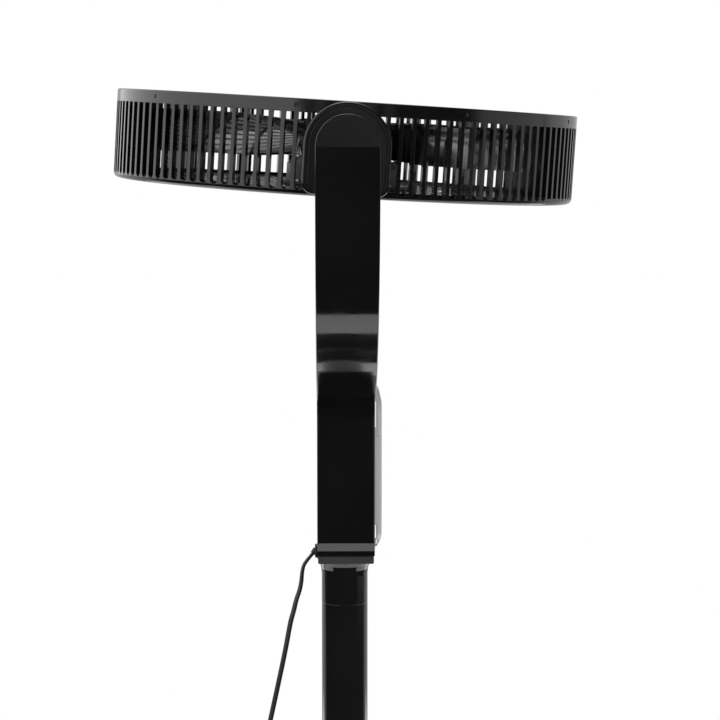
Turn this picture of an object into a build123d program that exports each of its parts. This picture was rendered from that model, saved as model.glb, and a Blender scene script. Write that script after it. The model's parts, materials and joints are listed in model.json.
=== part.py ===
from build123d import *
import math
import os

# Pedestal fan: a shallow slotted drum head hung in a half-ring yoke, on a telescopic pole and a round base.
# Millimetres. +Z up, the front of the fan faces -Y, the mains lead leaves at +Y.
# The origin is on the pole axis, on the floor.
os.makedirs("parts", exist_ok=True)

# Driving dimensions: head
PIVOT_Z = 1131.5        # height of the tilt axis
AXIS_Y = -1.1           # head, yoke and housing are centred this far forward of the pole
HEAD_TILT = 3.5         # degrees forward of facing straight up
HEAD_R = 227.2
HEAD_BACK = 3.0         # the drum's middle is this far behind the tilt axis
HEAD_HALF = 43.0        # half the drum's depth
WALL_IN_R = 222.0       # inside of the slotted wall
BAND_LOW = 31.0         # the slots end here, under the front band
RIB_COUNT = 120
RIB_W = 3.6
SLOT_LOW = -38.5
GUARD_SPOKE_W = 2.2
POD_R = 39.5
POD_X = 233.0
RIM_SCREW_COUNT = 9
RIM_SCREW_START = 168.0  # degrees about the head axis

# Driving dimensions: blades and motor, along the head axis
BLADE_COUNT = 5
BLADE_R = 202.0
HUB_R = 46.0
SHAFT_R = 4.0
MOTOR_R = 57.0
MOTOR_BACK_Z, MOTOR_FRONT_Z = -39.0, -13.0

# Driving dimensions: yoke
YOKE_IN_R, YOKE_OUT_R = 240.0, 256.0
YOKE_W = 57.6
YOKE_WALL = 2.5
PIN_R = 5.0
RUN_GAP = 0.05          # radial clearance of a running fit

# Driving dimensions: control housing
HOUSING_LOW = 712.0
HOUSING_TOP = 875.5
HOUSING_HALF = 42.0
FOOT_HALF = 37.0        # half width below the sloped sides
SLOPE_LOW, SLOPE_TOP = 726.0, 735.0
CASE_WALL = 2.5
FRONT_Y = AXIS_Y - YOKE_W / 2
REAR_Y = AXIS_Y + YOKE_W / 2
BUTTON_ZS = (828.0, 806.0, 784.0, 762.0)
BUTTON_NAMES = ("power", "speed", "swing", "timer")
BUTTON_R = 6.0
BEZEL_LOW, BEZEL_TOP = 722.0, 894.0
BEZEL_HALF = 33.0
BEZEL_PROUD = 6.9

# Driving dimensions: swing gears, module 1
SUN_TEETH, PINION_TEETH = 28, 16
PINION_X = (SUN_TEETH + PINION_TEETH) / 2.0
GEAR_LOW, GEAR_TOP = 722.0, 728.0

# Driving dimensions: neck, pole and base
NECK_LOW = 667.0
POST_R = 10.0
TUBE_R = 23.4
TUBE_LOW = 285.0
LOWER_TUBE_R = 25.5
LOWER_TUBE_TOP = 400.0
COLLAR_R = 33.0
BASE_R = 200.0
FOOT_COUNT = 6          # round the edge, with one more in the middle

# Driving dimensions: mains lead
CORD_R = 2.2
COIL_CENTRE = (62.0, 330.0)
COIL_IN_R, COIL_OUT_R, COIL_HIGH = 23.5, 34.5, 11.5
LEAD_ROUTE = [
    (0, 32.5, 716), (0, 38.4, 709), (0, 41.7, 704), (0, 42.9, 699), (0, 43.6, 694), (0, 44, 688),
    (0, 45.8, 678), (0, 49.5, 668), (0, 51.9, 657), (0, 54.9, 647), (0, 57, 636), (0, 60.8, 615),
    (0, 68.6, 578), (0, 81, 521), (0, 94.5, 463), (0, 109, 405), (1, 124.5, 348), (2, 141, 292),
    (3, 158.5, 237), (4, 177, 183), (6, 197, 131), (8, 218.5, 83), (11, 243, 41), (16, 271, 11),
    (25, 300, 2.4), (29.5, 330, 2.4),
]
TAIL_ROUTE = [(92.5, 338, 8.0), (93.5, 350, 7.2), (94, 362, 6.8)]
PLUG_SIZE = (19.0, 35.0, 13.5)


def save(shape, name):
    shape.label = name
    export_step(shape, f"parts/{name}.step")


def tube(outer, inner, low, high):
    """Upright ring between two heights."""
    ring = Cylinder(outer, high - low, align=(Align.CENTER, Align.CENTER, Align.MIN))
    ring -= Cylinder(inner, high - low, align=(Align.CENTER, Align.CENTER, Align.MIN))
    return Pos(0, 0, low) * ring


def disc(radius, low, high):
    """Upright cylinder between two heights."""
    return Pos(0, 0, low) * Cylinder(radius, high - low, align=(Align.CENTER, Align.CENTER, Align.MIN))


def block(low, high):
    """Box between two corners."""
    size = [b - a for a, b in zip(low, high)]
    return Pos(*low) * Box(*size, align=(Align.MIN, Align.MIN, Align.MIN))


def rod_x(radius, x0, x1, y=0.0, z=0.0):
    """Cylinder along X between two X values."""
    return Pos(x0, y, z) * Rot(0, 90, 0) * disc(radius, 0, x1 - x0)


def rod_y(radius, y0, y1, x=0.0, z=0.0):
    """Cylinder along Y between two Y values."""
    return Pos(x, y0, z) * Rot(-90, 0, 0) * disc(radius, 0, y1 - y0)


def around(shape, count, start=0.0):
    return [Rot(0, 0, start + 360.0 * i / count) * shape for i in range(count)]


def polar(radius, degrees):
    return (radius * math.cos(math.radians(degrees)), radius * math.sin(math.radians(degrees)))


def spun(points):
    """Solid of revolution about Z from an outline of radius and height."""
    return revolve(make_face(Plane.XZ * Polyline(points, close=True)), Axis.Z)


def at_tilt(shape):
    """From the tilt axis's own frame, front up, to its place at rest."""
    return Pos(0, AXIS_Y, PIVOT_Z) * Rot(HEAD_TILT, 0, 0) * shape


def on_head(shape):
    """From the head's own frame, front up and its middle at the origin, to its place at rest."""
    return at_tilt(Pos(0, 0, -HEAD_BACK) * shape)


# ---------------------------------------------------------------- head

def guard_face(hub_r, rings, counts, outer_r, swirl):
    """Flat guard: swirled spokes between rings, cut as windows out of one disc."""
    windows = []
    for inner, outer, count in zip(rings[:-1], rings[1:], counts):
        step = 360.0 / count
        for i in range(count):
            low_half = step / 2 - math.degrees(GUARD_SPOKE_W / 2 / (inner + 1.5))
            top_half = step / 2 - math.degrees(GUARD_SPOKE_W / 2 / (outer - 1.5))
            low_mid = i * step + swirl * inner / outer_r
            top_mid = i * step + swirl * outer / outer_r
            a, b = polar(inner + 1.5, low_mid - low_half), polar(inner + 1.5, low_mid + low_half)
            c, d = polar(outer - 1.5, top_mid + top_half), polar(outer - 1.5, top_mid - top_half)
            windows.append(Wire([
                Edge.make_three_point_arc(a, polar(inner + 1.5, low_mid), b), Edge.make_line(b, c),
                Edge.make_three_point_arc(c, polar(outer - 1.5, top_mid), d), Edge.make_line(d, a)]))
    if hub_r > 0:
        windows.append(Wire([Edge.make_circle(hub_r)]))
    return Face(Wire([Edge.make_circle(outer_r)]), windows)


def make_drum_shell():
    """Ribbed wall between a rounded rear edge and the plain front band."""
    wall = tube(HEAD_R, WALL_IN_R, -HEAD_HALF, HEAD_HALF)
    outer_edges = wall.edges().filter_by(GeomType.CIRCLE).filter_by(lambda e: e.radius > HEAD_R - 0.1)
    wall = fillet(outer_edges.sort_by(Axis.Z)[0], 4.8)
    front_edges = wall.edges().filter_by(GeomType.CIRCLE).group_by(Axis.Z)[-1]
    wall = fillet(front_edges, 1.4)
    pitch = 2 * math.pi * HEAD_R / RIB_COUNT
    slot_w = pitch - RIB_W
    foot_z = SLOT_LOW + slot_w / 2
    deep = HEAD_R - WALL_IN_R + 8
    slot = block((WALL_IN_R - 4, -slot_w / 2, foot_z), (WALL_IN_R - 4 + deep, slot_w / 2, BAND_LOW))
    slot += rod_x(slot_w / 2, WALL_IN_R - 4, WALL_IN_R - 4 + deep, 0, foot_z)
    recess = rod_x(2.0, HEAD_R - 1.2, HEAD_R + 2, 0, 37) + rod_x(1.2, WALL_IN_R - 1, HEAD_R, 0, 37)
    return wall - around(slot, RIB_COUNT, 1.5) - [Rot(0, 0, a) * recess for a in rim_angles()]


def rim_angles():
    return [RIM_SCREW_START + 360.0 * i / RIM_SCREW_COUNT for i in range(RIM_SCREW_COUNT)]


def make_front_grille():
    """Guard on a rim that sits inside the drum's front band."""
    rim = tube(WALL_IN_R, 214.0, BAND_LOW + 1.5, HEAD_HALF - 1)
    face = guard_face(38.0, (44, 88, 130, 172, 215), (60, 60, 120, 120), 215, 10)
    guard = Pos(0, 0, 36.5) * extrude(face, 4)
    pilot = rod_x(1.2, HEAD_R - 9.5, HEAD_R, 0, 37)
    return rim + guard - [Rot(0, 0, a) * pilot for a in rim_angles()]


def make_rim_screws():
    screw = rod_x(1.9, HEAD_R - 1.2, HEAD_R - 0.5, 0, 37) + rod_x(1.15, HEAD_R - 9, HEAD_R - 1.2, 0, 37)
    return Compound(children=[Rot(0, 0, a) * screw for a in rim_angles()])


def make_grille_badge():
    outline = [(0, 35), (37.9, 35), (37.9, 40.5), (34, 42.2), (20, 43.2), (0, 43.6)]
    return spun(outline)


def make_rear_grille():
    face = guard_face(0, (66, 98, 130, 170, 210), (60, 60, 120, 120), WALL_IN_R, -10)
    guard = Pos(0, 0, -HEAD_HALF) * extrude(face, 4)
    flange = tube(WALL_IN_R, WALL_IN_R - 2.4, -39, -36)
    holes = [Pos(*polar(61.5, a), -HEAD_HALF) * Cylinder(1.6, 20) for a in (45, 135, 225, 315)]
    return guard + flange - holes


def make_motor_case():
    """Cup over the motor, screwed to the rear guard, with a bearing seat in its front."""
    outline = [(5.2, -10.5), (12, -10.5), (14, MOTOR_FRONT_Z), (50, MOTOR_FRONT_Z), (MOTOR_R, -20),
               (MOTOR_R, -36.5), (66, -36.5), (66, MOTOR_BACK_Z), (54.8, MOTOR_BACK_Z), (54.8, -21),
               (49, -15.2),
               (11, -15.2), (11, -17.5), (8.2, -17.5), (8.2, MOTOR_FRONT_Z), (5.2, MOTOR_FRONT_Z)]
    return spun(outline) - [Pos(*polar(61.5, a), -38) * Cylinder(1.6, 20) for a in (45, 135, 225, 315)]


def make_stator_holder():
    """Flanged sleeve that carries the stator and the rear bearing."""
    return tube(20, 9.9, MOTOR_BACK_Z, -36.5) + tube(10, 9.9, -36.5, -22)


def make_case_screws():
    screw = disc(1.6, -42.8, -35) + disc(3.0, -36.5, -34.5)
    return Compound(children=[Pos(*polar(61.5, a), 0) * screw for a in (45, 135, 225, 315)])


def make_stator():
    """Laminated ring with nine poles."""
    ring = tube(17, 10, -33, -22)
    pole = block((16, -2.2, -33), (38, 2.2, -22)) + block((36, -9, -33), (39, 9, -22))
    trimmed = (ring + around(pole, 9)) & tube(39, 10, -33, -22)
    return trimmed


def make_windings():
    coil = block((20, -5.2, -34.6), (35, 5.2, -20.4)) - block((19, -2.2, -33), (38, 2.2, -22))
    coil = coil & tube(35, 20.5, -34.6, -20.4)
    return Compound(children=around(coil, 9))


def make_magnet_ring():
    """Outer rotor cup, turning with the shaft."""
    return tube(44, 39.6, -35.4, -18.4) + tube(44, SHAFT_R, -19.9, -18.4)


def make_bearings():
    rear = tube(9.9, SHAFT_R + RUN_GAP, -31, -25)
    front = tube(8.2, SHAFT_R + RUN_GAP, -17.5, MOTOR_FRONT_Z)
    return Compound(children=[rear, front])


def make_motor_board():
    return tube(36, 20.4, -38.2, -36.6)


def make_shaft():
    return disc(SHAFT_R, -31.5, 31)


def blade():
    """One swept blade, a thin twisted skin from hub to tip."""
    stations = ((HUB_R - 3, 4, 56, 31), (95, 6, 88, 26), (145, 14, 112, 22), (BLADE_R - 6, 26, 120, 19))
    sections = []
    for radius, sweep, chord, pitch in stations:
        half = chord / 2
        plane = Plane(origin=(0, 0, 0), x_dir=(0, 1, 0), z_dir=(1, 0, 0))
        arc = [(-half, -1.1), (0, 5.6), (half, -1.1), (half, 1.1), (0, 8.2), (-half, 1.1)]
        lower = ThreePointArc(arc[0], arc[1], arc[2])
        upper = ThreePointArc(arc[3], arc[4], arc[5])
        outline = make_face(lower + Line(arc[2], arc[3]) + upper + Line(arc[5], arc[0]))
        placed = plane * Rot(0, 0, -pitch) * outline
        sections.append(Rot(0, 0, sweep) * Pos(radius, 0, 5) * placed)
    return loft(sections)


def make_blade_rotor():
    rim = disc(HUB_R, -11, 24)
    rim = fillet(rim.edges().filter_by(GeomType.CIRCLE).group_by(Axis.Z)[-1], 8)
    hub = rim - disc(HUB_R - 2.5, -12, 21) + disc(9, -8, 22)
    envelope = disc(BLADE_R, -14, 27) - disc(HUB_R - 1.5, -20, 40)
    blades = [b & envelope for b in around(blade(), BLADE_COUNT)]
    rotor = hub
    for one in blades:
        rotor = rotor + one
    return rotor - disc(SHAFT_R, -40, 40)


def make_blade_nut():
    nut = extrude(RegularPolygon(7, 6), 6)
    return Pos(0, 0, 24) * (nut - Cylinder(SHAFT_R, 20))


def pod_outline(offset):
    """Arch: a half circle over straight sides with rounded feet."""
    r = POD_R - offset
    foot = -HEAD_HALF - HEAD_BACK + 2.0 + offset
    corner = 11.0 - offset
    return make_face(Plane.YZ * (
        Line((-r, 0), (-r, foot + corner))
        + RadiusArc((-r, foot + corner), (-r + corner, foot), -corner)
        + Line((-r + corner, foot), (r - corner, foot))
        + RadiusArc((r - corner, foot), (r, foot + corner), -corner)
        + Line((r, foot + corner), (r, 0))
        + ThreePointArc((r, 0), (0, r), (-r, 0))))


def make_pod():
    pod = Pos(200, 0, 0) * extrude(pod_outline(0), POD_X - 200, dir=(1, 0, 0))
    pod = fillet(pod.faces().sort_by(Axis.X)[-1].edges(), 2.2)
    groove = extrude(pod_outline(4.0), 30, dir=(1, 0, 0)) - extrude(pod_outline(5.4), 30, dir=(1, 0, 0))
    pod = pod - Pos(POD_X - 1.2, 0, 0) * groove
    return pod - disc(HEAD_R, -60, 60) - rod_x(9, 200, 250)


def make_pods():
    return Compound(children=[at_tilt(make_pod()), at_tilt(Rot(0, 0, 180) * make_pod())])


def make_tilt_bushes():
    bush = rod_x(9, HEAD_R + 0.2, POD_X + 1.6) - rod_x(PIN_R + RUN_GAP, 220, 250)
    return Compound(children=[at_tilt(bush), at_tilt(Rot(0, 0, 180) * bush)])


# ---------------------------------------------------------------- yoke

def half_ring(inner, outer, width):
    """Half ring under the tilt axis, ending in a half disc at each pivot."""
    plan = Plane.XZ * (Circle(outer) - Circle(inner))
    ring = extrude(plan, width / 2, both=True) & block((-300, -60, -300), (300, 60, 0))
    ends = rod_x(width / 2, inner, outer) + rod_x(width / 2, -outer, -inner)
    return Pos(0, AXIS_Y, PIVOT_Z) * (ring + (ends & block((-300, -60, 0), (300, 60, 60))))


def at_pivot(shape):
    return Pos(0, AXIS_Y, PIVOT_Z) * shape


def outer_edge(edge):
    """True for an edge on the yoke's outer surface, apart from the joint at the tilt axis."""
    middle = edge.position_at(0.5)
    reach = math.hypot(middle.X, middle.Z - PIVOT_Z) if middle.Z < PIVOT_Z else abs(middle.X)
    return abs(reach - YOKE_OUT_R) < 0.2 and edge.length > YOKE_W + 1


def make_yoke_outer():
    body = half_ring(YOKE_IN_R, YOKE_OUT_R, YOKE_W)
    body = fillet(body.edges().filter_by(outer_edge), 0.9)
    return body - half_ring(YOKE_IN_R - 3, YOKE_OUT_R - YOKE_WALL, YOKE_W - 2 * YOKE_WALL)


def make_yoke_inner():
    cover = half_ring(YOKE_IN_R, YOKE_IN_R + 2, YOKE_W - 2 * YOKE_WALL - 0.4)
    return cover - at_pivot(rod_x(10, -300, 300))


def make_yoke_strap():
    return half_ring(246, 249, 30) - at_pivot(rod_x(PIN_R, -300, 300))


def make_pivot_pins():
    pin = rod_x(PIN_R, HEAD_R + 0.6, 249) + rod_x(8.5, 249, 252)
    return Compound(children=[at_pivot(pin), at_pivot(Rot(0, 0, 180) * pin)])


def make_friction_discs():
    ring = rod_x(14, POD_X + 1.9, YOKE_IN_R - 0.7) - rod_x(PIN_R, 230, 250)
    return Compound(children=[at_pivot(ring), at_pivot(Rot(0, 0, 180) * ring)])


def make_head_wire():
    """Motor wire, lying along the inside of the half ring."""
    angle = 80
    a, b = math.sin(math.radians(angle)) * 251.3, -math.cos(math.radians(angle)) * 251.3
    path = Plane.XZ * ThreePointArc((12, -251.0), (178.4, -177), (a, b))
    section = Plane(origin=path @ 0, z_dir=path % 0) * Circle(1.2)
    return at_pivot(sweep(section, path=path))


# ---------------------------------------------------------------- control housing

def housing_block(inset, low, high, half=HOUSING_HALF):
    """Upright block with the housing's outline, drawn in by inset."""
    outline = RectangleRounded(2 * (half - inset), YOKE_W - 2 * inset, max(2.6 - inset, 0.5))
    return Pos(0, AXIS_Y, low) * extrude(outline, high - low)


def side_slopes(low, high, low_half, high_half):
    """Two wedges outside a pair of sloping sides."""
    wedge = [(low_half, low), (high_half, high), (60, high), (60, low)]
    face = make_face(Plane.XZ * Polyline(wedge, close=True))
    right = extrude(face, 60, both=True)
    return right + Rot(0, 0, 180) * right


def fascia_hole(inset):
    middle = (BUTTON_ZS[0] + BUTTON_ZS[-1]) / 2
    outline = Pos(0, middle) * Rot(0, 0, 90) * SlotOverall(136 - 2 * inset, 50 - 2 * inset)
    return Pos(0, FRONT_Y - 1, 0) * extrude(Plane.XZ * outline, -(CASE_WALL + 2))


def make_housing_shell():
    """Open-fronted case: sloped shoulders with a seam between them, sides drawn in at the foot."""
    seam_low, seam_top = 867.0, 869.6
    body = housing_block(0, HOUSING_LOW + 9, HOUSING_TOP + 8)
    body -= side_slopes(SLOPE_LOW, SLOPE_TOP, FOOT_HALF, HOUSING_HALF)
    body -= side_slopes(HOUSING_LOW, SLOPE_LOW, FOOT_HALF, FOOT_HALF)
    body -= side_slopes(seam_low - 5, seam_low, HOUSING_HALF, HOUSING_HALF - 2.9)
    body -= side_slopes(seam_low, seam_top, HOUSING_HALF - 3.9, HOUSING_HALF - 3.9)
    body -= side_slopes(seam_top, HOUSING_TOP - 0.5, HOUSING_HALF - 1, HOUSING_HALF - 4)
    body -= side_slopes(HOUSING_TOP - 0.5, HOUSING_TOP + 9, HOUSING_HALF - 4.8, HOUSING_HALF - 4.8)
    body -= housing_block(CASE_WALL, SLOPE_TOP + 1, HOUSING_TOP - 8, HOUSING_HALF - 4.5)
    body -= housing_block(CASE_WALL, HOUSING_LOW + 8, SLOPE_TOP + 2, FOOT_HALF)
    body -= at_pivot(rod_y(YOKE_OUT_R, -60, 60))
    body -= fascia_hole(0)
    return body - gland_hole()


def gland_hole():
    return block((-6, REAR_Y - 5, 713), (6, REAR_Y + 1, 725))


def make_housing_base():
    body = housing_block(0.8, HOUSING_LOW, HOUSING_LOW + 9, FOOT_HALF)
    body = fillet(body.faces().sort_by(Axis.Z)[0].outer_wire().edges(), 1.7)
    body -= side_slopes(HOUSING_LOW - 1, HOUSING_LOW + 8, FOOT_HALF - 5, FOOT_HALF - 0.8)
    body -= housing_block(6.5, HOUSING_LOW + 3, HOUSING_LOW + 10, FOOT_HALF)
    body += tube(19, 15, HOUSING_LOW + 3, HOUSING_LOW + 8)
    body -= disc(15, HOUSING_LOW - 1, HOUSING_LOW + 20)
    return body - gland_hole() - make_housing_screws()


def make_neck_bush():
    return tube(15, POST_R + RUN_GAP, HOUSING_LOW, HOUSING_LOW + 9)


def make_fascia():
    plate = fascia_hole(0) & block((-60, FRONT_Y, 700), (60, FRONT_Y + CASE_WALL, 890))
    holes = [rod_y(BUTTON_R + 0.3, -60, 0, 0, z) for z in BUTTON_ZS]
    return plate - holes - block((-13, -60, 849), (13, 0, 856))


def make_display_lens():
    return block((-13, FRONT_Y, 849), (13, FRONT_Y + 3.4, 856))


def make_button(z):
    """Push button with a flange behind the fascia and a short stem."""
    cap = rod_y(BUTTON_R, FRONT_Y - 0.3, FRONT_Y + 3.2, 0, z)
    flange = rod_y(BUTTON_R + 1.4, FRONT_Y + 2.8, FRONT_Y + 3.8, 0, z)
    stem = rod_y(1.8, FRONT_Y + 3.8, FRONT_Y + 5.0, 0, z)
    cap = fillet(cap.faces().sort_by(Axis.Y)[0].edges(), 0.6)
    return cap + flange + stem


def make_control_board():
    """Board with one small switch behind each button."""
    board = block((-21, FRONT_Y + 9.0, 748), (21, FRONT_Y + 10.6, 862))
    switch = block((-3, FRONT_Y + 7.4, -3), (3, FRONT_Y + 9.0, 3))
    switch += rod_y(1.5, FRONT_Y + 6.4, FRONT_Y + 7.4)
    return Compound(children=[board] + [Pos(0, 0, z) * switch for z in BUTTON_ZS])


def make_power_board():
    """Board with its transformer, capacitor and terminal block."""
    board = block((-30, 10, 754), (30, 11.6, 850))
    transformer = block((-24, -10, 800), (4, 10, 824))
    capacitor = rod_y(8, -10, 10, 18, 812)
    terminal = block((-12, -2, 756), (12, 10, 766))
    return Compound(children=[board, transformer, capacitor, terminal])


def bezel_side(front):
    """Side outline of the bezel: a shallow bow whose ends lie on the housing."""
    bend = 22.0
    return make_face(Plane.YZ * (
        Spline((FRONT_Y, BEZEL_LOW), (front, BEZEL_LOW + bend), tangents=((-0.35, 1), (0, 1)))
        + Line((front, BEZEL_LOW + bend), (front, BEZEL_TOP - bend))
        + Spline((front, BEZEL_TOP - bend), (FRONT_Y, BEZEL_TOP), tangents=((0, 1), (0.35, 1)))
        + Line((FRONT_Y, BEZEL_TOP), (FRONT_Y, BEZEL_LOW))))


def make_bezel():
    side = Pos(-60, 0, 0) * extrude(bezel_side(FRONT_Y - BEZEL_PROUD), 120, dir=(1, 0, 0))
    middle = (BEZEL_LOW + BEZEL_TOP) / 2
    tall = BEZEL_TOP - BEZEL_LOW
    outer = Pos(0, middle) * Rot(0, 0, 90) * SlotOverall(tall, 2 * BEZEL_HALF)
    inner = Pos(0, middle) * Rot(0, 0, 90) * SlotOverall(tall - 9, 2 * BEZEL_HALF - 9)
    ring = Pos(0, FRONT_Y - 20, 0) * extrude(Plane.XZ * (outer - inner), -30)
    reveals = [block((-60, FRONT_Y - 2.4, low), (60, FRONT_Y + 1, high))
               for low, high in ((728, 752), (841, 876))]
    return (side & ring) - reveals


def make_swing_motor():
    """Geared motor on its bracket, above the pinion."""
    motor = Pos(PINION_X, 0, 0) * (disc(11, 735, 750) - disc(1.6, 730, 760))
    return motor + block((PINION_X - 13, -14, 750), (HOUSING_HALF - 7, 14, 752))


def gear(teeth, low, high, phase):
    """Straight trapezoid teeth of module 1, thin enough to leave backlash."""
    pitch_r = teeth / 2.0
    outline = []
    for i in range(teeth):
        mid = phase + 360.0 * i / teeth
        root, tip = pitch_r - 1.25, pitch_r + 0.85
        for radius, half in ((root, -0.84), (tip, -0.30), (tip, 0.30), (root, 0.84)):
            outline.append(polar(radius, mid + math.degrees(half / radius)))
    return Pos(0, 0, low) * extrude(make_face(Polyline(outline, close=True)), high - low)


def make_swing_pinion():
    wheel = gear(PINION_TEETH, GEAR_LOW, GEAR_TOP, 180.0 / PINION_TEETH)
    return Pos(PINION_X, 0, 0) * (wheel + disc(1.5, GEAR_TOP, 745))


def make_cable_gland():
    """Small block through the rear wall, with a short nose that points the lead down."""
    body = block((-6, REAR_Y - 5, 713), (6, REAR_Y + 2.6, 725))
    body = fillet(body.faces().sort_by(Axis.Y)[-1].edges(), 1.2)
    start, after = Vector(*LEAD_ROUTE[0]), Vector(*LEAD_ROUTE[1])
    direction = (after - start).normalized()
    base = Plane(origin=start - direction * 5.3, z_dir=direction)
    return body + base * Cone(3.4, 2.8, 5, align=(Align.CENTER, Align.CENTER, Align.MIN))


def make_housing_screws():
    screw = disc(1.4, HOUSING_LOW + 1, HOUSING_LOW + 9) + disc(2.8, HOUSING_LOW, HOUSING_LOW + 1)
    return Compound(children=[Pos(x, y, 0) * screw for x in (-25, 25) for y in (-19, 17)])


# ---------------------------------------------------------------- neck and pole

def make_neck_collar():
    outline = [(POST_R, NECK_LOW), (TUBE_R, NECK_LOW), (TUBE_R, 696), (24.0, 702), (25.2, 706.5),
               (27.0, 710), (28.0, 711.6), (POST_R, 711.6)]
    spigot = tube(TUBE_R - 2, POST_R, NECK_LOW - 26, NECK_LOW)
    return spun(outline) + spigot


def make_neck_post():
    return tube(POST_R, POST_R - 3, NECK_LOW - 20, 733)


def make_sun_gear():
    return gear(SUN_TEETH, GEAR_LOW, GEAR_TOP, 0.0) - disc(POST_R, 700, 740)


def make_upper_tube():
    return tube(TUBE_R, TUBE_R - 2, TUBE_LOW, NECK_LOW)


def make_tube_foot():
    return tube(24.4, TUBE_R, TUBE_LOW, TUBE_LOW + 30) + tube(24.4, 18, TUBE_LOW - 4, TUBE_LOW)


def make_lower_tube():
    return tube(LOWER_TUBE_R, 24.5, 14, LOWER_TUBE_TOP)


def make_tube_bush():
    sleeve = tube(24.5, TUBE_R + RUN_GAP, 345, LOWER_TUBE_TOP)
    return sleeve + tube(LOWER_TUBE_R, TUBE_R + RUN_GAP, LOWER_TUBE_TOP, LOWER_TUBE_TOP + 2)


def make_lock_collar():
    outline = [(25.6, 388), (31, 388), (COLLAR_R, 391), (COLLAR_R, 417), (30, 423), (26.5, 424), (23.9, 424),
               (23.9, 403), (25.6, 403)]
    groove = Pos(COLLAR_R + 0.6, 0, 404) * Cylinder(1.6, 24)
    return spun(outline) - around(groove, 24)


def make_base_socket():
    body = tube(52, LOWER_TUBE_R, 14, 18) + tube(30, LOWER_TUBE_R, 18, 72)
    return body - [Pos(*polar(41, a), 0) * Cylinder(4, 60) for a in (30, 150, 270)]


def make_column_trim():
    outline = [(30, 30), (44, 29.4), (36, 34), (32.5, 44), (31.5, 60), (30, 60)]
    return spun(outline)


def make_base_cover():
    top = [(30.2, 29.4), (70, 28.6), (130, 24), (180, 16), (194, 12), (BASE_R - 1, 8.5),
           (BASE_R, 6), (BASE_R, 3)]
    under = [(BASE_R - 2.4, 3), (BASE_R - 2.6, 6.4), (193, 9.6), (179, 13.4), (129.6, 21.4),
             (69.8, 26), (30.2, 26.8)]
    return spun(top + under)


def make_base_weight():
    body = disc(178, 5, 12) + tube(56, 26, 12, 14) - disc(8, 0, 20)
    return body - [Pos(*polar(41, a), 0) * Cylinder(4, 60) for a in (30, 150, 270)]


def make_base_bolts():
    bolt = disc(4, 5, 18) + extrude(Pos(0, 0, 18) * RegularPolygon(6, 6), 4)
    return Compound(children=[Pos(*polar(41, a), 0) * bolt for a in (30, 150, 270)])


def make_rubber_feet():
    foot = disc(11, 0, 5)
    foot = fillet(foot.edges().filter_by(GeomType.CIRCLE).group_by(Axis.Z)[0], 1.2)
    outer_feet = [Pos(*polar(160, 30 + 60 * i), 0) * foot for i in range(FOOT_COUNT)]
    return Compound(children=[foot] + outer_feet)


# ---------------------------------------------------------------- mains lead

def routed_tube(route, radius, name):
    """Straight runs joined by tangent arcs, each as large as its two runs allow."""
    points = [Vector(*p) for p in route]
    radii = []
    for before, here, after in zip(points, points[1:], points[2:]):
        first, second = here - before, after - here
        turn = math.radians(first.get_angle(second))
        radii.append(0.45 * min(first.length, second.length) / math.tan(turn / 2))
    path = FilletPolyline(points, radius=radii)
    section = Plane(origin=path @ 0, z_dir=path % 0) * Circle(radius)
    solid = sweep(section, path=path)
    share = solid.volume / (math.pi * radius ** 2 * path.length)
    print(f"{name}: length {path.length:.1f}, volume over section times length {share:.4f}")
    print("   radii", [round(r, 1) for r in radii])
    return solid


def make_cord_coil():
    ring = tube(COIL_OUT_R, COIL_IN_R, 0, COIL_HIGH)
    return Pos(*COIL_CENTRE, 0) * ring


def make_cord_tie():
    half = 4.0
    band = block((-half, -COIL_OUT_R - 0.9, 0), (half, -COIL_IN_R + 0.9, COIL_HIGH + 0.9))
    return Pos(*COIL_CENTRE, 0) * (band - tube(COIL_OUT_R, COIL_IN_R, -1, COIL_HIGH))


def make_plug_body():
    wide, long, high = PLUG_SIZE
    x, y = TAIL_ROUTE[-1][0], TAIL_ROUTE[-1][1]
    body = block((x - wide / 2, y, 0), (x + wide / 2, y + long, high))
    return fillet(body.edges().filter_by(Axis.Y), 4.0)


def make_plug_pins():
    x, y = TAIL_ROUTE[-1][0], TAIL_ROUTE[-1][1] + PLUG_SIZE[1]
    pin = rod_y(2.0, y, y + 19, 0, PLUG_SIZE[2] / 2)
    pin = fillet(pin.faces().sort_by(Axis.Y)[-1].edges(), 1.2)
    return Compound(children=[Pos(x - 5.5, 0, 0) * pin, Pos(x + 5.5, 0, 0) * pin])


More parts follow.
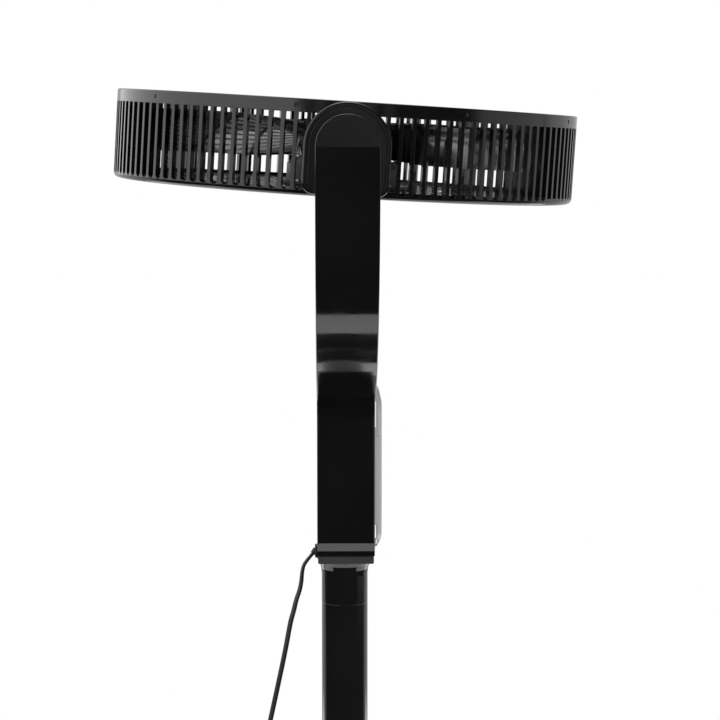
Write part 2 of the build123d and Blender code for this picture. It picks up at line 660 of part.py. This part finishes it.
HEAD_PARTS = {
    "drum_shell": make_drum_shell, "front_grille": make_front_grille, "rim_screws": make_rim_screws,
    "grille_badge": make_grille_badge, "rear_grille": make_rear_grille, "motor_case": make_motor_case,
    "case_screws": make_case_screws, "stator_core": make_stator, "stator_windings": make_windings,
    "magnet_rotor": make_magnet_ring, "shaft_bearings": make_bearings,
    "stator_holder": make_stator_holder,
    "motor_board": make_motor_board, "motor_shaft": make_shaft, "blade_rotor": make_blade_rotor,
    "blade_nut": make_blade_nut,
}
BODY_PARTS = {
    "pivot_pods": make_pods, "tilt_bushes": make_tilt_bushes,
    "yoke_outer": make_yoke_outer, "yoke_inner": make_yoke_inner, "yoke_strap": make_yoke_strap,
    "pivot_pins": make_pivot_pins, "friction_discs": make_friction_discs, "head_wire": make_head_wire,
    "housing_shell": make_housing_shell, "housing_base": make_housing_base, "neck_bush": make_neck_bush,
    "fascia": make_fascia, "display_lens": make_display_lens, "control_board": make_control_board,
    "power_board": make_power_board, "bezel": make_bezel, "swing_motor": make_swing_motor,
    "swing_pinion": make_swing_pinion, "cable_gland": make_cable_gland,
    "housing_screws": make_housing_screws,
    "neck_collar": make_neck_collar, "neck_post": make_neck_post, "sun_gear": make_sun_gear,
    "upper_tube": make_upper_tube, "tube_foot": make_tube_foot,
    "lower_tube": make_lower_tube, "tube_bush": make_tube_bush, "lock_collar": make_lock_collar,
    "base_socket": make_base_socket, "column_trim": make_column_trim, "base_cover": make_base_cover,
    "base_weight": make_base_weight, "base_bolts": make_base_bolts,
    "rubber_feet": make_rubber_feet, "cord_coil": make_cord_coil, "cord_tie": make_cord_tie,
    "plug_body": make_plug_body, "plug_pins": make_plug_pins,
}


for name, make in HEAD_PARTS.items():
    save(on_head(make()), name)
for name, make in BODY_PARTS.items():
    save(make(), name)
for name, z in zip(BUTTON_NAMES, BUTTON_ZS):
    save(make_button(z), f"{name}_button")
save(routed_tube(LEAD_ROUTE, CORD_R, "cord_lead"), "cord_lead")
save(routed_tube(TAIL_ROUTE, CORD_R, "cord_tail"), "cord_tail")
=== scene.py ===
import json
import math

import bmesh
import bpy
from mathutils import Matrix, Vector


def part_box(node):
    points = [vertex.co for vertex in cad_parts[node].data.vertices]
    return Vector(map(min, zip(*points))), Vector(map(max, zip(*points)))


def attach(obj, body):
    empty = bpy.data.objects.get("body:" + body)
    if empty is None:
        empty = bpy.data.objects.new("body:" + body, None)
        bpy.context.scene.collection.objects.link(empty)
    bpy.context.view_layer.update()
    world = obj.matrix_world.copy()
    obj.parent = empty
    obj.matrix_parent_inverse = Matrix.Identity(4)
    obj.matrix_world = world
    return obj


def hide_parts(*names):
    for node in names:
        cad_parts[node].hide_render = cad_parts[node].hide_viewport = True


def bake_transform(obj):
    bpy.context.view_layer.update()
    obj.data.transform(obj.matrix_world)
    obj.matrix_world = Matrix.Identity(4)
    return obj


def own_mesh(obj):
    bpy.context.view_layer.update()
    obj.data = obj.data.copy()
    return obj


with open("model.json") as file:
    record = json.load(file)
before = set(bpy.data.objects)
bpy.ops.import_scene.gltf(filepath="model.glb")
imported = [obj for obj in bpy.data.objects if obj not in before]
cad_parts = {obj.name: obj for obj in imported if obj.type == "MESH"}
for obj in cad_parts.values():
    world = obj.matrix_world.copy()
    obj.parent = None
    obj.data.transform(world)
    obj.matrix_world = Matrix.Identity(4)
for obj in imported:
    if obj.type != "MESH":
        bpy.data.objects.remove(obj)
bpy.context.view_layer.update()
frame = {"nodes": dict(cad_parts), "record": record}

# Looks of a pedestal fan: camera, light, mains lead, materials and small details.
# Metres, in the CAD frame.

nodes = frame["nodes"]

# ---------------------------------------------------------------- camera

EYE_HEIGHT = 1.159
EYE_DISTANCE = 2.1
EYE_ASIDE = 0.0156           # the pole stands this far left of the picture's middle
EYE_AZIMUTH = math.radians(0.85)
EYE_PITCH = math.radians(6.65)
LENS_MM, SENSOR_MM = 105.0, 36.0
FAR_CLIP = 50.0


def make_camera():
    """At the head's height, pitched a little down, looking along +X at the fan's side."""
    data = bpy.data.cameras.new("camera")
    data.lens = LENS_MM
    data.sensor_width = SENSOR_MM
    data.clip_end = FAR_CLIP
    camera = bpy.data.objects.new("camera", data)
    bpy.context.scene.collection.objects.link(camera)
    back = Vector((-math.cos(EYE_AZIMUTH), math.sin(EYE_AZIMUTH), 0))
    aside = Vector((-math.sin(EYE_AZIMUTH), -math.cos(EYE_AZIMUTH), 0))
    camera.location = back * EYE_DISTANCE + aside * EYE_ASIDE + Vector((0, 0, EYE_HEIGHT))
    camera.rotation_euler = (math.pi / 2 - EYE_PITCH, 0, -math.pi / 2 - EYE_AZIMUTH)
    bpy.context.scene.camera = camera


make_camera()


# ---------------------------------------------------------------- helpers

def link(obj):
    bpy.context.scene.collection.objects.link(obj)
    return obj


def mesh_object(name, verts, faces, smooth=True):
    data = bpy.data.meshes.new(name)
    data.from_pydata([tuple(v) for v in verts], [], faces)
    bm = bmesh.new()
    bm.from_mesh(data)
    bmesh.ops.recalc_face_normals(bm, faces=bm.faces)
    bm.to_mesh(data)
    bm.free()
    for polygon in data.polygons:
        polygon.use_smooth = smooth
    return link(bpy.data.objects.new(name, data))


def tube_faces(rings, around):
    """Quads between rings of points, and a cap on each end."""
    faces = []
    for i in range(rings - 1):
        for j in range(around):
            k = (j + 1) % around
            faces.append((i * around + j, i * around + k, (i + 1) * around + k, (i + 1) * around + j))
    faces.append(tuple(range(around)))
    faces.append(tuple(range((rings - 1) * around, rings * around)))
    return faces


def spline_points(name, route, resolution=10):
    """Points along one NURBS spline through a route's control points."""
    curve = bpy.data.curves.new(name, "CURVE")
    curve.dimensions = "3D"
    spline = curve.splines.new("NURBS")
    spline.points.add(len(route) - 1)
    for point, place in zip(spline.points, route):
        point.co = (*place, 1.0)
    spline.order_u = 3
    spline.use_endpoint_u = True
    spline.resolution_u = resolution
    holder = bpy.data.objects.new(name, curve)
    mesh = bpy.data.meshes.new_from_object(holder)
    points = [v.co.copy() for v in mesh.vertices]
    bpy.data.objects.remove(holder)
    bpy.data.curves.remove(curve)
    bpy.data.meshes.remove(mesh)
    return points


# ---------------------------------------------------------------- mains lead

LEAD_WIDE, LEAD_THICK = 0.0054, 0.0033
CORE_ARC, CORE_STEPS = 150, 8        # each core's round outer side, in degrees and in steps
TURN_RATE = 1.6                      # the flat side stops turning after 1/1.6 of a piece's length
SEAM_TURN, LAID_TURN = math.radians(62), math.radians(90)
COIL_CENTRE = Vector((0.062, 0.330, 0))
TURN_PITCH = 0.0035          # turns lie side by side, the flat lead on edge
INNER_TURN, OUTER_TURN = 0.0255, 0.0325
LOWER_LAYER, UPPER_LAYER = 0.00285, 0.0085
TURN_STEPS = 16
TURN_WAVE = 0.0002
SEAM_HEIGHT = 0.45           # where the hanging part is split, above this it follows the housing

LEAD_ROUTE = [
    (0, 0.0325, 0.716), (0, 0.0384, 0.709), (0, 0.0417, 0.704), (0, 0.0429, 0.699), (0, 0.0436, 0.694),
    (0, 0.044, 0.688), (0, 0.0458, 0.678), (0, 0.0495, 0.668), (0, 0.0519, 0.657), (0, 0.0549, 0.647),
    (0, 0.057, 0.636), (0, 0.0608, 0.615), (0, 0.0686, 0.578), (0, 0.081, 0.521), (0, 0.0945, 0.463),
    (0, 0.109, 0.405), (0.001, 0.1245, 0.348), (0.002, 0.141, 0.292), (0.003, 0.1585, 0.237),
    (0.004, 0.177, 0.183), (0.006, 0.197, 0.131), (0.008, 0.2185, 0.083), (0.011, 0.243, 0.041),
    (0.016, 0.271, 0.011), (0.025, 0.300, 0.0029),
]
TAIL_ROUTE = [(0.0925, 0.338, 0.0085), (0.0935, 0.350, 0.0075), (0.094, 0.3635, 0.0068)]


def coil_turns():
    """Three turns winding in on the floor, two winding out on top of them."""
    points = []
    turns = ((3, OUTER_TURN, INNER_TURN, LOWER_LAYER),
             (2, INNER_TURN + TURN_PITCH / 2, OUTER_TURN - TURN_PITCH / 2, UPPER_LAYER))
    for count, first, last, height in turns:
        total = count * TURN_STEPS
        for i in range(total):
            share = i / (total - 1)
            radius = first + (last - first) * share
            angle = math.pi - 2 * math.pi * i / TURN_STEPS
            wave = TURN_WAVE * math.sin(angle * 3 + count)
            across = (radius * math.cos(angle), radius * math.sin(angle))
            points.append(COIL_CENTRE + Vector((*across, height + wave)))
    return points


def flat_twin(name, points, first_turn, last_turn):
    """Two insulated cores side by side, swept along points; the flat side turns slowly along the lead."""
    core = LEAD_THICK / 2
    aside = LEAD_WIDE / 2 - core
    outline = []
    for side in (1, -1):
        for step in range(CORE_STEPS + 1):
            angle = math.radians(-CORE_ARC / 2 + CORE_ARC * step / CORE_STEPS)
            outline.append((side * (aside + core * math.cos(angle)), side * core * math.sin(angle)))
    verts = []
    total = len(points)
    for i, point in enumerate(points):
        ahead = points[min(i + 1, total - 1)] - points[max(i - 1, 0)]
        tangent = ahead.normalized()
        upright = Vector((0, 0, 1)) - tangent * tangent.z
        across = tangent.cross(upright).normalized() if upright.length > 1e-6 else Vector((1, 0, 0))
        upright = across.cross(tangent).normalized()
        turn = first_turn + (last_turn - first_turn) * min(1.0, TURN_RATE * i / (total - 1))
        wide = across * math.cos(turn) + upright * math.sin(turn)
        thin = tangent.cross(wide)
        verts += [point + wide * u + thin * v for u, v in outline]
    return mesh_object(name, verts, tube_faces(total, len(outline)))


route = [Vector(p) for p in LEAD_ROUTE] + coil_turns() + [Vector(p) for p in TAIL_ROUTE]
lead_points = spline_points("lead_route", route)
split = next(i for i, p in enumerate(lead_points) if p.z < SEAM_HEIGHT)
hanging, laid = lead_points[:split + 1], lead_points[split:]
lead_upper = flat_twin("lead_upper", hanging, 0.0, SEAM_TURN)
lead_lower = flat_twin("lead_lower", laid, SEAM_TURN, LAID_TURN)


SLEEVE_RIBS, RIB_START, RIB_PITCH, RIB_PROUD = 5, 0.02, 0.056, 0.08
GRIP_RIDGES, RIDGE_START, RIDGE_PITCH = 4, 0.54, 0.09
RIDGE_WIDE, GROOVE_WIDE = 0.98, 0.91
PLUG_STEPS = 32
SIDE_ROUND, FACE_ROUND = 0.6, 0.7    # powers under 1 square the plug's outline
PLUG_EDGE = 0.0002


def plug_stations():
    """The plug's width and height along its length, as shares of the whole."""
    stations = [(0.0, 0.42, 0.52)]
    for rib in range(SLEEVE_RIBS):
        start, wide, tall = RIB_START + RIB_PITCH * rib, 0.46 + 0.06 * rib, 0.56 + 0.05 * rib
        stations += [(start, wide, tall), (start + 0.012, wide + RIB_PROUD, tall + RIB_PROUD),
                     (start + 0.036, wide + RIB_PROUD, tall + RIB_PROUD)]
    stations += [(0.30, 0.80, 0.86), (0.50, 0.96, 0.96)]
    for ridge in range(GRIP_RIDGES):
        start = RIDGE_START + RIDGE_PITCH * ridge
        stations += [(start, RIDGE_WIDE, 0.98), (start + 0.015, GROOVE_WIDE, 0.98),
                     (start + 0.045, GROOVE_WIDE, 0.98), (start + 0.060, RIDGE_WIDE, 0.98)]
    return stations + [(0.94, 1.0, 1.0), (0.985, 0.97, 0.96), (1.0, 0.90, 0.86)]


def make_plug():
    """Flat moulded plug: a waisted body, grip ridges on both sides and a ribbed sleeve round the lead."""
    low, high = (Vector(c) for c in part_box("plug_body"))
    middle = (low + high) / 2
    half_wide, half_high = (high.x - low.x) / 2, (high.z - low.z) / 2
    stations = plug_stations()
    verts = []
    for share, wide, tall in stations:
        for i in range(PLUG_STEPS):
            angle = 2 * math.pi * i / PLUG_STEPS
            c, s = math.cos(angle), math.sin(angle)
            x = half_wide * wide * math.copysign(abs(c) ** SIDE_ROUND, c)
            z = half_high * tall * math.copysign(abs(s) ** FACE_ROUND, s)
            verts.append((middle.x + x, low.y + (high.y - low.y) * share, middle.z + z))
    body = mesh_object("plug_moulding", verts, tube_faces(len(stations), PLUG_STEPS))
    bevel = body.modifiers.new("edges", "BEVEL")
    bevel.width = PLUG_EDGE
    bevel.segments = 2
    bevel.limit_method = "ANGLE"
    return body


plug = make_plug()
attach(plug, "stand")
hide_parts("plug_body")

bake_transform(lead_upper)
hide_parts("cord_lead")
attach(lead_lower, "stand")
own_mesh(lead_lower)
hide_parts("cord_coil", "cord_tail")


# ---------------------------------------------------------------- materials

def new_material(name):
    material = bpy.data.materials.new(name)
    material.use_nodes = True
    tree, links = material.node_tree.nodes, material.node_tree.links
    return material, tree, links, tree["Principled BSDF"]


def object_noise(tree_nodes, links, scale, detail=4.0, stretch=(1, 1, 1)):
    """Noise fixed to the object's own coordinates."""
    place = tree_nodes.new("ShaderNodeTexCoord")
    mapping = tree_nodes.new("ShaderNodeMapping")
    mapping.inputs["Scale"].default_value = stretch
    noise = tree_nodes.new("ShaderNodeTexNoise")
    noise.inputs["Scale"].default_value = scale
    noise.inputs["Detail"].default_value = detail
    links.new(place.outputs["Object"], mapping.inputs["Vector"])
    links.new(mapping.outputs["Vector"], noise.inputs["Vector"])
    return noise


def ranged(tree_nodes, links, source, low, high, from_low=0.35, from_high=0.65):
    spread = tree_nodes.new("ShaderNodeMapRange")
    spread.inputs["From Min"].default_value = from_low
    spread.inputs["From Max"].default_value = from_high
    spread.inputs["To Min"].default_value = low
    spread.inputs["To Max"].default_value = high
    links.new(source, spread.inputs["Value"])
    return spread.outputs["Result"]


def mixed(tree_nodes, links, factor, first, second):
    mix = tree_nodes.new("ShaderNodeMix")
    mix.data_type = "RGBA"
    mix.inputs["A"].default_value = (*first, 1)
    mix.inputs["B"].default_value = (*second, 1)
    links.new(factor, mix.inputs["Factor"])
    return mix.outputs["Result"]


def bumped(tree_nodes, links, shader, height, distance, strength=1.0, edge=0.0):
    """Relief in metres; edge rounds the corners the light catches."""
    bump = tree_nodes.new("ShaderNodeBump")
    bump.inputs["Distance"].default_value = distance
    bump.inputs["Strength"].default_value = strength
    links.new(height, bump.inputs["Height"])
    if edge > 0:
        bevel = tree_nodes.new("ShaderNodeBevel")
        bevel.samples = 4
        bevel.inputs["Radius"].default_value = edge
        links.new(bevel.outputs["Normal"], bump.inputs["Normal"])
    links.new(bump.outputs["Normal"], shader.inputs["Normal"])


def moulded(name, dark, light, rough, grain, edge=0.0006, metallic=0.0, coat=0.0):
    """Moulded or painted surface: faint mottling, uneven gloss, and relief of grain's scale and depth."""
    material, tree, links, shader = new_material(name)
    mottle = object_noise(tree, links, 9.0, 5.0)
    links.new(mixed(tree, links, ranged(tree, links, mottle.outputs["Fac"], 0, 1), dark, light),
              shader.inputs["Base Color"])
    smear = object_noise(tree, links, 34.0, 6.0, (1, 1, 0.35))
    links.new(ranged(tree, links, smear.outputs["Fac"], *rough), shader.inputs["Roughness"])
    grain_scale, grain_depth = grain
    relief = object_noise(tree, links, grain_scale, 3.0)
    bumped(tree, links, shader, relief.outputs["Fac"], grain_depth, edge=edge)
    shader.inputs["Metallic"].default_value = metallic
    shader.inputs["Coat Weight"].default_value = coat
    shader.inputs["Coat Roughness"].default_value = 0.05
    return material


def brushed_metal(name, dark, light, rough, stretch, edge=0.0004):
    """Metal with fine drawn lines."""
    material, tree, links, shader = new_material(name)
    lines = object_noise(tree, links, 260.0, 4.0, stretch)
    links.new(mixed(tree, links, ranged(tree, links, lines.outputs["Fac"], 0, 1), dark, light),
              shader.inputs["Base Color"])
    links.new(ranged(tree, links, lines.outputs["Fac"], *rough), shader.inputs["Roughness"])
    bumped(tree, links, shader, lines.outputs["Fac"], 0.00003, edge=edge)
    shader.inputs["Metallic"].default_value = 1.0
    return material


def wound_copper():
    material, tree, links, shader = new_material("wound_copper")
    place = tree.new("ShaderNodeTexCoord")
    wave = tree.new("ShaderNodeTexWave")
    wave.bands_direction = "Z"
    wave.inputs["Scale"].default_value = 320.0
    wave.inputs["Distortion"].default_value = 0.4
    links.new(place.outputs["Object"], wave.inputs["Vector"])
    links.new(mixed(tree, links, wave.outputs["Fac"], (0.22, 0.07, 0.03), (0.62, 0.26, 0.12)),
              shader.inputs["Base Color"])
    bumped(tree, links, shader, wave.outputs["Fac"], 0.0003)
    shader.inputs["Metallic"].default_value = 0.9
    shader.inputs["Roughness"].default_value = 0.32
    return material


def printed_board():
    material, tree, links, shader = new_material("printed_board")
    place = tree.new("ShaderNodeTexCoord")
    cells = tree.new("ShaderNodeTexVoronoi")
    cells.distance = "MANHATTAN"
    cells.inputs["Scale"].default_value = 210.0
    links.new(place.outputs["Object"], cells.inputs["Vector"])
    tracks = ranged(tree, links, cells.outputs["Distance"], 0, 1, 0.30, 0.36)
    links.new(mixed(tree, links, tracks, (0.01, 0.07, 0.03), (0.03, 0.16, 0.07)),
              shader.inputs["Base Color"])
    bumped(tree, links, shader, tracks, 0.00005)
    shader.inputs["Roughness"].default_value = 0.38
    return material


def smoked_lens():
    material, tree, links, shader = new_material("smoked_lens")
    dust = object_noise(tree, links, 60.0, 4.0)
    links.new(ranged(tree, links, dust.outputs["Fac"], 0.04, 0.12), shader.inputs["Roughness"])
    links.new(mixed(tree, links, dust.outputs["Fac"], (0.03, 0.006, 0.006), (0.06, 0.012, 0.012)),
              shader.inputs["Base Color"])
    shader.inputs["Coat Weight"].default_value = 0.6
    return material


def lead_skin():
    """Soft vinyl, smooth but not glossy."""
    return moulded("lead_skin", (0.010, 0.010, 0.011), (0.017, 0.017, 0.018),
                   rough=(0.30, 0.46), grain=(900.0, 0.00006), edge=0.0)


MATERIALS = {
    "gloss_black": moulded("moulded_gloss", (0.005, 0.005, 0.0055), (0.008, 0.008, 0.0085),
                           rough=(0.06, 0.12), grain=(260.0, 0.00003), coat=0.3),
    "satin_black": moulded("moulded_satin", (0.013, 0.013, 0.014), (0.020, 0.020, 0.021),
                           rough=(0.30, 0.44), grain=(1400.0, 0.00006)),
    "blade_black": moulded("moulded_blade", (0.006, 0.006, 0.0065), (0.009, 0.009, 0.0095),
                           rough=(0.09, 0.16), grain=(320.0, 0.00004), edge=0.0008),
    "tube_black": moulded("painted_tube", (0.007, 0.007, 0.008), (0.010, 0.010, 0.011),
                          rough=(0.06, 0.10), grain=(700.0, 0.00002), coat=0.3),
    "white_plastic": moulded("moulded_white", (0.66, 0.66, 0.62), (0.74, 0.74, 0.70),
                             rough=(0.34, 0.46), grain=(900.0, 0.00005)),
    "rubber_black": moulded("soft_rubber", (0.012, 0.012, 0.012), (0.020, 0.020, 0.020),
                            rough=(0.55, 0.72), grain=(1100.0, 0.00008)),
    "silver_trim": moulded("silver_trim", (0.80, 0.81, 0.82), (0.86, 0.87, 0.88),
                           rough=(0.28, 0.38), grain=(1500.0, 0.00004), metallic=0.25, coat=0.2),
    "steel": brushed_metal("drawn_steel", (0.42, 0.42, 0.43), (0.58, 0.58, 0.59),
                           rough=(0.26, 0.40), stretch=(0.06, 1, 1)),
    "brass_pin": brushed_metal("plated_pin", (0.62, 0.52, 0.32), (0.76, 0.66, 0.44),
                               rough=(0.18, 0.28), stretch=(1, 0.05, 1)),
    "copper": wound_copper(),
    "circuit_board": printed_board(),
    "lens_smoke": smoked_lens(),
}


def finish_with(obj, material):
    if not obj.material_slots:
        obj.data.materials.append(material)
    for slot in obj.material_slots:
        slot.material = material


def dress_frame():
    """Each CAD node takes the material of its slot in the record."""
    for part in frame["record"]["subparts"]:
        finish_with(nodes[part["node"]], MATERIALS[part["material_slot"]])


dress_frame()
lead_material = lead_skin()
finish_with(lead_upper, lead_material)
finish_with(lead_lower, lead_material)
finish_with(plug, MATERIALS["satin_black"])


# ---------------------------------------------------------------- light and stage

FLOOR_R, FLOOR_STEPS = 1.5, 96
SHEET_FRONT, SHEET_LOW = -0.41, -0.002
SHEET_GLOW = 1.4
CEILING_LIGHT_W, SIDE_FILL_W = 15, 28

# How bright the surfaces see each lit area, and the direction's x, y or z at which it fades in.
BACKDROP, BACKDROP_EDGE = 0.7, (0.22, 0.50)
LEFT_SOFTBOX, LEFT_EDGE, LEFT_FOOT = 1.7, (0.30, 0.48), (-0.15, -0.07)
RIGHT_SOFTBOX, RIGHT_EDGE, RIGHT_FOOT = 0.65, (-0.86, -0.95), (-0.24, -0.19)
CEILING, CEILING_EDGE = 1.4, (0.84, 0.92)
ROOM_WALL, ROOM_EDGE, ROOM_FOOT = 0.45, (-0.90, -0.96), (-0.045, -0.030)
CLUTTER_SCALE, CLUTTER_STRETCH, CLUTTER_RANGE = 9.0, (1, 1, 5), (0.38, 0.60)
DARK_STUDIO = 0.012


def direction_mask(tree_nodes, links, value, low, high):
    """0 below low, 1 above high, smooth between."""
    step = tree_nodes.new("ShaderNodeMapRange")
    step.interpolation_type = "SMOOTHSTEP"
    step.inputs["From Min"].default_value = low
    step.inputs["From Max"].default_value = high
    links.new(value, step.inputs["Value"])
    return step.outputs["Result"]


def combined(tree_nodes, links, operation, first, second):
    node = tree_nodes.new("ShaderNodeMath")
    node.operation = operation
    for slot, value in zip(node.inputs, (first, second)):
        if isinstance(value, (int, float)):
            slot.default_value = value
        else:
            links.new(value, slot)
    return node.outputs["Value"]


def make_studio():
    """White to the camera; the surfaces see a backdrop, two softboxes, a ceiling and a dim room wall."""
    world = bpy.data.worlds.new("studio")
    bpy.context.scene.world = world
    world.use_nodes = True
    tree, links = world.node_tree.nodes, world.node_tree.links
    tree.clear()
    output = tree.new("ShaderNodeOutputWorld")
    mix = tree.new("ShaderNodeMixShader")
    white, studio = tree.new("ShaderNodeBackground"), tree.new("ShaderNodeBackground")
    rays = tree.new("ShaderNodeLightPath")
    place = tree.new("ShaderNodeTexCoord")
    split_axes = tree.new("ShaderNodeSeparateXYZ")
    links.new(place.outputs["Generated"], split_axes.inputs["Vector"])
    x, y, z = (split_axes.outputs[axis] for axis in "XYZ")

    def lit(strength, *edges):
        """Brightness of an area that fades in over each (axis, low, high)."""
        area = direction_mask(tree, links, *edges[0])
        for edge in edges[1:]:
            area = combined(tree, links, "MULTIPLY", area, direction_mask(tree, links, *edge))
        return combined(tree, links, "MULTIPLY", area, strength)

    clutter = tree.new("ShaderNodeTexNoise")
    clutter.inputs["Scale"].default_value = CLUTTER_SCALE
    stretched = tree.new("ShaderNodeMapping")
    stretched.inputs["Scale"].default_value = CLUTTER_STRETCH
    links.new(place.outputs["Generated"], stretched.inputs["Vector"])
    links.new(stretched.outputs["Vector"], clutter.inputs["Vector"])
    wall = ranged(tree, links, clutter.outputs["Fac"], 0.0, ROOM_WALL, *CLUTTER_RANGE)

    level = lit(BACKDROP, (x, *BACKDROP_EDGE))
    for area in (lit(LEFT_SOFTBOX, (y, *LEFT_EDGE), (z, *LEFT_FOOT)), lit(CEILING, (z, *CEILING_EDGE)),
                 lit(wall, (x, *ROOM_EDGE), (z, *ROOM_FOOT)),
                 lit(RIGHT_SOFTBOX, (y, *RIGHT_EDGE), (z, *RIGHT_FOOT)), DARK_STUDIO):
        level = combined(tree, links, "MAXIMUM", level, area)
    links.new(level, studio.inputs["Strength"])
    white.inputs["Color"].default_value = (1, 1, 1, 1)
    white.inputs["Strength"].default_value = 1.0
    links.new(rays.outputs["Is Camera Ray"], mix.inputs["Fac"])
    links.new(studio.outputs["Background"], mix.inputs[1])
    links.new(white.outputs["Background"], mix.inputs[2])
    links.new(mix.outputs["Shader"], output.inputs["Surface"])


def make_floor():
    """Round pale floor; mirror-like surfaces see the lit sheet in its place."""
    angles = [2 * math.pi * i / FLOOR_STEPS for i in range(FLOOR_STEPS)]
    verts = [(FLOOR_R * math.cos(angle), FLOOR_R * math.sin(angle), 0) for angle in angles]
    floor = mesh_object("floor", verts, [tuple(range(FLOOR_STEPS))], smooth=False)
    material, tree, links, shader = new_material("pale_floor")
    cloud = object_noise(tree, links, 3.0, 4.0)
    links.new(mixed(tree, links, cloud.outputs["Fac"], (0.80, 0.80, 0.80), (0.86, 0.86, 0.86)),
              shader.inputs["Base Color"])
    shader.inputs["Roughness"].default_value = 0.75
    finish_with(floor, material)
    floor.visible_glossy = False


def make_sheet():
    """White sheet under the fan, seen only in its mirror-like surfaces."""
    corners = [(SHEET_FRONT, -FLOOR_R), (FLOOR_R, -FLOOR_R), (FLOOR_R, FLOOR_R), (SHEET_FRONT, FLOOR_R)]
    sheet = mesh_object("sheet", [(x, y, SHEET_LOW) for x, y in corners], [(0, 1, 2, 3)], smooth=False)
    material, tree, links, shader = new_material("lit_sheet")
    shader.inputs["Base Color"].default_value = (0.8, 0.8, 0.8, 1)
    shader.inputs["Emission Color"].default_value = (1, 1, 1, 1)
    shader.inputs["Emission Strength"].default_value = SHEET_GLOW
    finish_with(sheet, material)
    sheet.visible_camera = False
    sheet.visible_diffuse = False
    sheet.visible_shadow = False


def area_light(name, place, aim, size, power):
    data = bpy.data.lights.new(name, "AREA")
    data.shape = "DISK"
    data.size = size
    data.energy = power
    lamp = link(bpy.data.objects.new(name, data))
    lamp.location = place
    lamp.rotation_euler = (Vector(aim) - Vector(place)).to_track_quat("-Z", "Y").to_euler()
    return lamp


make_studio()
make_floor()
make_sheet()
area_light("ceiling_light", (0.4, 0.2, 3.2), (0, 0, 0.6), 1.6, CEILING_LIGHT_W)
side_fill = area_light("side_fill", (-1.6, -1.6, 1.1), (0, 0, 0.8), 1.2, SIDE_FILL_W)
side_fill.visible_glossy = False
bpy.context.scene.view_settings.view_transform = "Standard"
